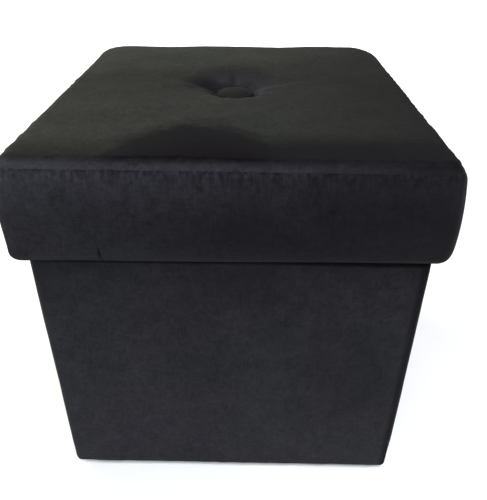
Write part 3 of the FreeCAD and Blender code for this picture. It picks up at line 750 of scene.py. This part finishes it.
def draft_lid():
    """The lid's cloth before it settles: (grid, row of the seam)."""
    profile, seam_row = lid_profile()
    grid = rings(square_directions(DRAFT_COLUMNS), profile)
    on_top = np.arange(len(profile))[:, None] < seam_row
    grid[..., 2] -= np.where(on_top, button_dimple(grid[..., :2]), 0)
    side = np.clip((grid[..., 2] - LID_BOTTOM) / (SEAM - LID_BOTTOM), 0, 1)
    grid[..., :2] *= (1 + BAND_BULGE * np.sin(math.pi * side) / LID_HALF)[..., None]
    back = ease(0, LID_HALF, grid[..., 1])
    puffed = ease(TOP_HIGH - 28 * MM, TOP_HIGH - 6 * MM, grid[..., 2]) * back
    puffed *= 1 - 0.9 * ease(0.78 * LID_HALF, 1.02 * LID_HALF, np.abs(grid[..., 0]))
    grid[..., 2] += puffed * (BACK_RISE + RIGHT_RISE * grid[..., 0] / LID_HALF)
    soften_corners(grid)
    return grid, seam_row


def soften_corners(grid):
    """Round the lid's back corners more than the front ones, and its lower front edge more at the right."""
    across, back, up = np.moveaxis(grid, -1, 0)
    reach = np.abs(grid[..., :2]).max(-1)
    cut = BACK_CORNER_CUT * hump(np.abs(across) - back, 0, 14 * MM) * ease(0.7 * LID_HALF, LID_HALF, reach)
    cut *= ease(BOARD_HIGH.z + 4 * MM, SEAM - 8 * MM, up)
    right = ease(-0.5 * LID_HALF, LID_HALF, across) - 0.4 * ease(-0.6 * LID_HALF, -LID_HALF, across)
    right *= ease(0, -0.8 * LID_HALF, back)
    low_edge = hump(up, LID_BOTTOM + 3 * MM, 8 * MM) * ease(LID_HALF - 14 * MM, LID_HALF - 4 * MM, reach)
    grid[..., :2] *= (1 - cut / LID_HALF)[..., None]
    grid -= grid_normals(grid) * (LOW_RIGHT_CUT * right * low_edge)[..., None]


def settle(grid, seam_row):
    """Puff the lid's cloth out with a short cloth simulation, its seam, hem and tie held where they are."""
    draft = loft("lid_cloth_draft", grid)
    rows, columns = grid.shape[:2]
    held = draft.vertex_groups.new(name="held")
    slack = draft.vertex_groups.new(name="slack")
    radius = np.linalg.norm(grid[..., :2], axis=-1)
    under = grid[..., 2] < LID_BOTTOM + 1 * MM
    firm = np.where(under | (radius < TIED_RADIUS), 1.0, TOP_HOLD)
    firm[seam_row] = 1.0
    firm[seam_row + 1:] = np.where(firm[seam_row + 1:] == 1, 1.0, BAND_HOLD)
    for row in range(rows):
        for weight in np.unique(firm[row]):
            members = (row * columns + np.flatnonzero(firm[row] == weight)).tolist()
            held.add(members, float(weight), "REPLACE")
    slack.add(list(range(seam_row * columns, rows * columns)), 1.0, "REPLACE")
    cloth = draft.modifiers.new("cloth", "CLOTH")
    for setting, value in SUEDE_CLOTH.items():
        setattr(cloth.settings, setting, value)
    cloth.settings.vertex_group_mass = held.name
    cloth.settings.vertex_group_shrink = slack.name
    cloth.settings.effector_weights.gravity = 0
    scene = bpy.context.scene
    for moment in range(SETTLE_FRAMES):
        scene.frame_set(moment + 1)
    settled = draft.evaluated_get(bpy.context.evaluated_depsgraph_get()).data
    points = np.empty(rows * columns * 3)
    settled.vertices.foreach_get("co", points)
    scene.frame_set(1)
    bpy.data.objects.remove(draft)
    move = points.reshape(grid.shape) - grid
    far = np.linalg.norm(move, axis=-1, keepdims=True)
    return grid + move * SETTLE_LIMIT * np.tanh(far / SETTLE_LIMIT) / np.maximum(far, 1e-9)


def curve_through(grid, places, wrap):
    """Rows between the rows of a grid, on smooth curves through them."""
    base = np.floor(places).astype(int)
    t = (places - base)[:, None, None]

    def row(step):
        index = base + step
        return grid[index % len(grid)] if wrap else grid[np.clip(index, 0, len(grid) - 1)]

    before, first, second, after = row(-1), row(0), row(1), row(2)
    slope_in = (second - before) / 2
    slope_out = (after - first) / 2
    return (first + t * slope_in + t * t * (3 * (second - first) - 2 * slope_in - slope_out)
            + t ** 3 * (2 * (first - second) + slope_in + slope_out))


def refine(grid, places):
    """The grid at other rows, and at LID_COLUMNS columns."""
    finer = curve_through(grid, places, wrap=False)
    columns = np.arange(LID_COLUMNS) * grid.shape[1] / LID_COLUMNS
    return curve_through(finer.transpose(1, 0, 2), columns, wrap=True).transpose(1, 0, 2)


def add_folds(grid):
    """Small folds that run out from the button, a crease back from it, and a soft fold to each side."""
    across, back = grid[..., 0], grid[..., 1]
    radius = np.linalg.norm(grid[..., :2], axis=-1)
    angle = np.arctan2(back, across)
    near = ease(17 * MM, 24 * MM, radius) * (1 - ease(30 * MM, 66 * MM, radius))
    round_it = np.stack([np.cos(angle), np.sin(angle)], -1)
    lift = ripple(round_it, 0.26, 5) * FOLD_HEIGHT * near
    off_crease = (angle - math.radians(CREASE_ANGLE)) * radius
    reach = ease(19 * MM, 24 * MM, radius) * (1 - ease(46 * MM, 74 * MM, radius)) * (back > 0)
    lift -= hump(off_crease, 0, 4 * MM) * CREASE_DEPTH * reach
    for degrees, back_side in WINGS:
        heading = math.radians(degrees)
        along = across * math.cos(heading) + back * math.sin(heading)
        behind = back_side * (back * math.cos(heading) - across * math.sin(heading))
        reach = ease(18 * MM, 32 * MM, along) * (1 - ease(48 * MM, 94 * MM, along))
        lift -= np.tanh(behind / (5 * MM)) * hump(behind, 0, 22 * MM) * WING_HEIGHT * reach
    grid[..., 2] += np.where(radius < 0.6 * LID_HALF, lift, 0)


def add_seam(grid):
    """The seam's valley, the puckers that its stitching gathers, a dart, and the wadding's unevenness."""
    plan = grid[..., :2]
    up = grid[..., 2]
    below = SEAM - up
    pleats = ripple(plan, 4.5 * MM, 11, 22) + 0.7 * ripple(plan, 9 * MM, 12)
    fade = np.where(below > 0, np.exp(-below / (15 * MM)), np.exp(below / (4 * MM)))
    front_left = hump(np.arctan2(grid[..., 1], grid[..., 0]), -2.1, 0.7)
    uneven = 0.55 + 0.5 * front_left + 0.25 * ripple(plan, 90 * MM, 13)
    puckers = PUCKER_HEIGHT * pleats * fade * uneven
    valley = -SEAM_VALLEY * hump(below, 0, 1.6 * MM)
    dart_across = hump(grid[..., 0], DART, 1.4 * MM) * (grid[..., 1] < -0.5 * LID_HALF)
    dart = -DART_DEPTH * dart_across * hump(up, LID_BOTTOM + 11 * MM, 9 * MM)
    outside = np.abs(plan).max(-1) > LID_HALF - ROLL
    edge = np.where(outside & (up > LID_BOTTOM + 0.5 * MM), puckers + valley + dart, 0)
    soft = 0.6 * MM * ripple(grid, 42 * MM, 21) + 0.2 * MM * ripple(grid, 15 * MM, 22)
    soft *= ease(24 * MM, 50 * MM, np.linalg.norm(plan, axis=-1))
    soft *= ease(LID_BOTTOM + 1 * MM, LID_BOTTOM + 12 * MM, up)
    grid += grid_normals(grid) * (edge + soft)[..., None]


def spread(start, end, near_start, near_end, count):
    """count places from start to end, packed closer towards an end by its share, 0 to 1."""
    t = np.linspace(0, 1, count)
    t = t * (1 - near_start) + near_start * t ** 2
    t = 1 - ((1 - t) * (1 - near_end) + near_end * (1 - t) ** 2)
    return start + (end - start) * t


lid_draft, seam_row = draft_lid()
lid_settled = settle(lid_draft, seam_row)


def make_lid_covers():
    """The two cut pieces of the lid's cover, sewn at the seam."""
    last = len(lid_settled) - 1
    top_places = spread(0, seam_row, 0.0, PACKED, TOP_ROWS)
    side_places = spread(seam_row, last, PACKED, 0.0, BAND_ROWS)
    whole = refine(lid_settled, np.concatenate([top_places, side_places[1:]]))
    add_folds(whole)
    add_seam(whole)
    top = loft("lid_top_cloth", whole[:len(top_places)])
    thicken(top, CLOTH)
    finish_piece(top, "lid", SUEDE_TOP, "lid_top_panel")
    side = loft("lid_side_cloth", whole[len(top_places) - 1:])
    thicken(side, CLOTH)
    finish_piece(side, "lid", SUEDE_BAND, "lid_side_band")


def inset(grid, depth):
    """A grid moved inwards along its normals."""
    return grid - grid_normals(grid) * depth


def make_lid_filling():
    """The wadding under the cover, and the foam block under the wadding."""
    over_board = int((lid_draft[:, 0, 2] > LID_BOTTOM + LOW_ROLL).sum())
    skin = lid_settled[:over_board]
    mat = loft("lid_wadding_mat", inset(skin, WADDING_DEPTH))
    thicken(mat, WADDING_THICKNESS)
    finish_piece(mat, "lid", WADDING, "lid_wadding")
    block = inset(skin, FOAM_DEPTH)
    block = block[block[:, 0, 2] > BOARD_HIGH.z + 2 * MM]
    foot = block[-1].copy()
    middle = block[0].copy()
    for ring in (foot, middle):
        ring[:, 2] = BOARD_HIGH.z + 0.3 * MM
    underside = [foot + (middle - foot) * step for step in np.linspace(0, 1, 9)[1:]]
    wall = [middle + (block[0] - middle) * step for step in np.linspace(0, 1, 5)[1:]]
    closed = loft("lid_foam_block", np.concatenate([block, [foot], underside, wall]))
    finish_piece(closed, "lid", FOAM, "lid_foam")


make_lid_covers()
make_lid_filling()


# ---------------- the base's cloth and pads

# The place of the closing seam round the square, from 0 to 4.
CLOSING_SEAM = 2.93
HEM_LEAST_CORNER = 1.2 * MM

# A pad's rings: (share of its half-thickness, share of its half-width).
PAD_SECTION = ((-1, 0.0), (-1, 0.5), (-1, 0.92), (-0.7, 1.0), (0.7, 1.0), (1, 0.92), (1, 0.5), (1, 0.0))


def base_profile():
    """The rings of the base's cloth, from the hem inside up over the rim, down and under the floor."""
    edge = 4 * MM
    foot = 6 * MM
    corner = 6 * MM
    hem_low = RIM - 28 * MM
    hem_under = BASE_HALF - 40 * MM
    rim_turn = 2 * MM
    points = [(HEM_HALF, height) for height in np.linspace(hem_low, RIM - rim_turn, 8)]
    points += arc(HEM_HALF + rim_turn, RIM - rim_turn, rim_turn, 180, 90, 4)[1:]
    points += arc(BASE_HALF - edge, RIM - edge, edge, 90, 0, 6)
    points += [(BASE_HALF, height) for height in np.linspace(RIM - edge, COVER_LOW.z + foot, 56)[1:]]
    points += arc(BASE_HALF - foot, COVER_LOW.z + foot, foot, 0, -90, 7)[1:]
    points += [(half, COVER_LOW.z) for half in np.linspace(BASE_HALF - foot, hem_under, 6)[1:]]
    return [(half, max(corner - (BASE_HALF - half), HEM_LEAST_CORNER), height) for half, height in points]


def make_base_cloth():
    """The wrap of the base, with the seam that closes it at the back."""
    grid = rings(square_directions(448, fine=(CLOSING_SEAM,)), base_profile())
    outside = ease(BASE_HALF - 2 * MM, BASE_HALF, np.abs(grid[..., :2]).max(-1))
    up = (grid[..., 2] - COVER_LOW.z) / (RIM - COVER_LOW.z)
    full = 0.9 * MM * np.sin(math.pi * np.clip(up, 0, 1))
    soft = 0.5 * MM * ripple(grid, 70 * MM, 31) + 0.16 * MM * ripple(grid, 20 * MM, 32)
    tucks = 0.3 * MM * ripple(grid[..., :2], 7 * MM, 33)
    tucks *= hump(grid[..., 2], RIM - 10 * MM, 10 * MM)
    low_tucks = 0.35 * MM * ripple(grid[..., :2], 9 * MM, 34)
    low_tucks *= hump(grid[..., 2], COVER_LOW.z + 6 * MM, 9 * MM)
    seam_x = -(2 * (CLOSING_SEAM - 2) - 1) * BASE_HALF
    on_back = grid[..., 1] > 0.5 * BASE_HALF
    seam = -1.0 * MM * hump(grid[..., 0], seam_x, 1.1 * MM) * on_back
    grid += grid_normals(grid) * ((full + soft + tucks + low_tucks + seam) * outside)[..., None]
    cloth = loft("base_cloth", grid)
    thicken(cloth, CLOTH)
    finish_piece(cloth, "base", SUEDE_BASE, "base_cover")


def make_pad(name, node):
    """One foam pad of the base: a thin slab with softened edges and a slightly uneven face."""
    low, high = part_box(node)
    centre = np.array((low + high) / 2)
    half = np.array((high - low) / 2)
    thin = int(half.argmin())
    wide = [axis for axis in range(3) if axis != thin]
    soft_edge = half[thin] * 0.9
    rows = []
    ring = square_directions(160)
    for depth, edge in PAD_SECTION:
        on_face = abs(depth) == 1
        points = np.zeros((len(ring), 3))
        for axis, across in zip(wide, ring.T):
            points[:, axis] = across * (half[axis] - soft_edge * on_face) * max(edge, 0.02)
        points[:, thin] = depth * half[thin]
        rows.append(points)
    grid = np.array(rows) + centre
    inwards = np.where(np.abs(grid[..., thin] - centre[thin]) > 0.9 * half[thin], 0.12 * MM, 0)
    grid[..., thin] -= np.sign(grid[..., thin] - centre[thin]) * inwards * (1 + ripple(grid, 30 * MM, 41))
    pad = loft(name, grid, cap_start=True, cap_end=True)
    finish_piece(pad, "base", PAD_FOAM, node)


make_base_cloth()
for side_name in ("front", "back", "left", "right"):
    make_pad(side_name + "_pad_foam", side_name + "_pad")


# ---------------- the linings

LINING_THICKNESS = 0.4 * MM


def clipped_square(directions, half, clip):
    """Points round a square of that half-width whose corners are cut where |x| + |y| = clip."""
    reach = np.minimum(half, clip / np.abs(directions).sum(-1))
    return directions * reach[:, None]


def make_cavity_lining():
    """The lining of the storage space, stapled along its top and a little slack below the staples."""
    directions = square_directions(320)
    corners = np.array([vertex.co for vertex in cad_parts["cavity_lining"].data.vertices])
    clip = np.abs(corners[:, :2]).sum(1).max() - 0.2 * MM
    outer = LINING_HIGH.x - 0.1 * MM
    heights = np.linspace(LINING_HIGH.z, LINING_LOW.z + 0.4 * MM, 44)
    grid = np.zeros((len(heights), len(directions), 3))
    grid[..., :2] = clipped_square(directions, outer, clip)
    grid[..., 2] = heights[:, None]
    slack = 0.5 + 0.5 * ripple(grid, 36 * MM, 51)
    creases = 0.25 * MM * ripple(grid, 9 * MM, 52)
    below_staples = ease(0, 24 * MM, LINING_HIGH.z - 5 * MM - grid[..., 2])
    above_floor = ease(0, 12 * MM, grid[..., 2] - LINING_LOW.z - 2 * MM)
    inwards = np.clip(0.9 * MM * slack + creases, 0, 2 * MM) * below_staples * above_floor
    grid[..., :2] *= (1 - inwards / outer)[..., None]
    cloth = loft("cavity_lining_cloth", grid)
    thicken(cloth, LINING_THICKNESS)
    finish_piece(cloth, "base", SPUNBOND, "cavity_lining")


def make_flat_lining(name, node, body, slack, hole=0.0):
    """A square spunbond sheet, slack by a hair between the staples round its edge."""
    low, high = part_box(node)
    half_width = high.x
    inner = max(hole, 0.4 * MM)
    steps = np.concatenate([np.linspace(inner, 12 * MM, 5), np.linspace(16 * MM, half_width, 40)])
    rows = [(half, half * (1 - ease(8 * MM, 30 * MM, half)), (low.z + high.z) / 2) for half in steps]
    grid = rings(square_directions(320), rows)
    edge = np.abs(grid[..., :2]).max(-1)
    free = (1 - ease(half_width - 34 * MM, half_width - 12 * MM, edge)) * ease(16 * MM, 40 * MM, edge)
    grid[..., 2] += slack * (0.5 + 0.5 * ripple(grid[..., :2], 45 * MM, 61)) * free
    cloth = loft(name, grid, cap_start=not hole)
    thicken(cloth, LINING_THICKNESS)
    finish_piece(cloth, body, SPUNBOND, node)


make_cavity_lining()
make_flat_lining("lid_lining_cloth", "lid_lining", "lid",
                 slack=-0.5 * MM, hole=3 * MM)
make_flat_lining("dust_cover_cloth", "dust_cover", "base",
                 slack=-0.6 * MM)


# ---------------- the button

def make_button():
    """The cloth of the button, drawn over its shell, with small pleats where it turns in."""
    radius = BUTTON_HIGH.x
    top = BUTTON_HIGH.z
    low = BUTTON_LOW.z
    shoulder = 3 * MM
    dome = 2.8 * MM
    pleat_count = 22
    angles = np.linspace(0, 2 * math.pi, 180, endpoint=False)
    steps = np.linspace(0.03, 1, 16)
    profile = [((radius - shoulder) * step, top - dome * step ** 2.2) for step in steps]
    profile += arc(radius - shoulder, top - dome - shoulder, shoulder, 80, -50, 9)
    profile += [(radius - 4 * MM, low + 0.4 * MM), (radius - 7 * MM, low + 0.3 * MM)]
    grid = np.array([[(half * math.cos(a), half * math.sin(a), height) for a in angles]
                     for half, height in profile])
    reach = np.linalg.norm(grid[..., :2], axis=-1) / radius
    pleats = np.sin(angles * pleat_count + 1.3 * np.sin(angles * 3)) * 0.18 * MM
    dents = 0.15 * MM * ripple(grid, 12 * MM, 71)
    grid += grid_normals(grid) * (pleats[None, :] * ease(0.7, 1.0, reach) + dents)[..., None]
    button = loft("button_cloth", grid, cap_start=True)
    thicken(button, 0.7 * MM)
    finish_piece(button, "lid", SUEDE_BUTTON, "button_cover")


make_button()


# ---------------- floor, lights and camera

FLOOR_HALF = 30.0
CAMERA_PLACE = (0.0154, -0.5436, 0.5647)
CAMERA_HEADING = 0.57
CAMERA_DOWN = 29.69
CAMERA_ROLL = 0.64
LENS = 37.1
PICTURE_SHIFT = -0.1


def make_floor():
    """A large pale floor."""
    s = Shader("pale_floor", 0.75, Specular_IOR_Level=0.2)
    tone = s.ramp(s.noise(1.3, 3, 0.5), (0.3, (0.83, 0.83, 0.825)), (0.7, (0.87, 0.87, 0.865)))
    material = s.done(tone, s.bump(s.noise(160, 3, 0.6), 0.4 * MM, 0.15))
    corners = [(x * FLOOR_HALF, y * FLOOR_HALF, 0) for x, y in ((-1, -1), (1, -1), (1, 1), (-1, 1))]
    mesh = bpy.data.meshes.new("floor")
    mesh.from_pydata(corners, [], [(0, 1, 2, 3)])
    mesh.materials.append(material)
    floor = bpy.data.objects.new("floor", mesh)
    bpy.context.collection.objects.link(floor)


def make_light(name, place, target, size, power, colour, spread_angle=180):
    """A soft square light that faces a target."""
    data = bpy.data.lights.new(name, "AREA")
    data.size = size
    data.energy = power
    data.color = colour
    data.spread = math.radians(spread_angle)
    light = bpy.data.objects.new(name, data)
    light.location = place
    light.rotation_mode = "QUATERNION"
    light.rotation_quaternion = (Vector(target) - Vector(place)).to_track_quat("-Z", "Y")
    bpy.context.collection.objects.link(light)


def make_world(colour, left, right):
    """A pale surround, brighter from the left than from the right."""
    world = bpy.data.worlds.new("studio")
    world.use_nodes = True
    tree = world.node_tree
    background = tree.nodes["Background"]
    background.inputs["Color"].default_value = (*colour, 1)
    direction = tree.nodes.new("ShaderNodeTexCoord").outputs["Generated"]
    parts = tree.nodes.new("ShaderNodeSeparateXYZ")
    tree.links.new(direction, parts.inputs[0])
    strength = tree.nodes.new("ShaderNodeMapRange")
    for socket, number in (("From Min", -1), ("From Max", 1), ("To Min", left), ("To Max", right)):
        strength.inputs[socket].default_value = number
    tree.links.new(parts.outputs["X"], strength.inputs["Value"])
    tree.links.new(strength.outputs["Result"], background.inputs["Strength"])
    bpy.context.scene.world = world


def make_camera():
    """A camera in front of the ottoman and above it, looking down. Its picture is cut lower than its axis."""
    data = bpy.data.cameras.new("camera")
    data.sensor_fit = "VERTICAL"
    data.sensor_height = 36.0
    data.lens = LENS
    data.shift_y = PICTURE_SHIFT
    data.clip_start = 0.01
    camera = bpy.data.objects.new("camera", data)
    place = Matrix.Translation(CAMERA_PLACE)
    heading = Matrix.Rotation(math.radians(CAMERA_HEADING), 4, "Z")
    tilt = Matrix.Rotation(math.radians(90 - CAMERA_DOWN), 4, "X")
    roll = Matrix.Rotation(math.radians(CAMERA_ROLL), 4, "Z")
    camera.matrix_world = place @ heading @ tilt @ roll
    bpy.context.collection.objects.link(camera)
    bpy.context.scene.camera = camera


make_floor()
make_light("key", place=(-1.75, 1.25, 1.12), target=(0, 0.05, 0.38), size=0.9, power=46,
           colour=(1.0, 0.97, 0.74))
make_light("side_fill", place=(-0.72, -0.76, 0.50), target=(-0.1, -0.2, 0.3), size=0.5, power=4.2,
           colour=(0.86, 0.90, 1.0))
make_light("right_fill", place=(1.5, 0.5, 0.30), target=(0.19, 0.1, 0.2), size=0.6, power=6,
           colour=(0.92, 0.95, 1.0))
make_light("floor_glow", place=(0.5, -1.5, 2.2), target=(0.4, -1.4, 0), size=1.6, power=38,
           colour=(0.94, 0.96, 1.0), spread_angle=75)
make_light("back_glow", place=(0.5, 3.4, 2.8), target=(0.5, 3.4, 0), size=3.0, power=150,
           colour=(0.97, 0.98, 1.0), spread_angle=110)
make_world(colour=(0.92, 0.93, 1.0), left=0.62, right=0.10)
make_camera()
bpy.context.scene.view_settings.view_transform = "Standard"
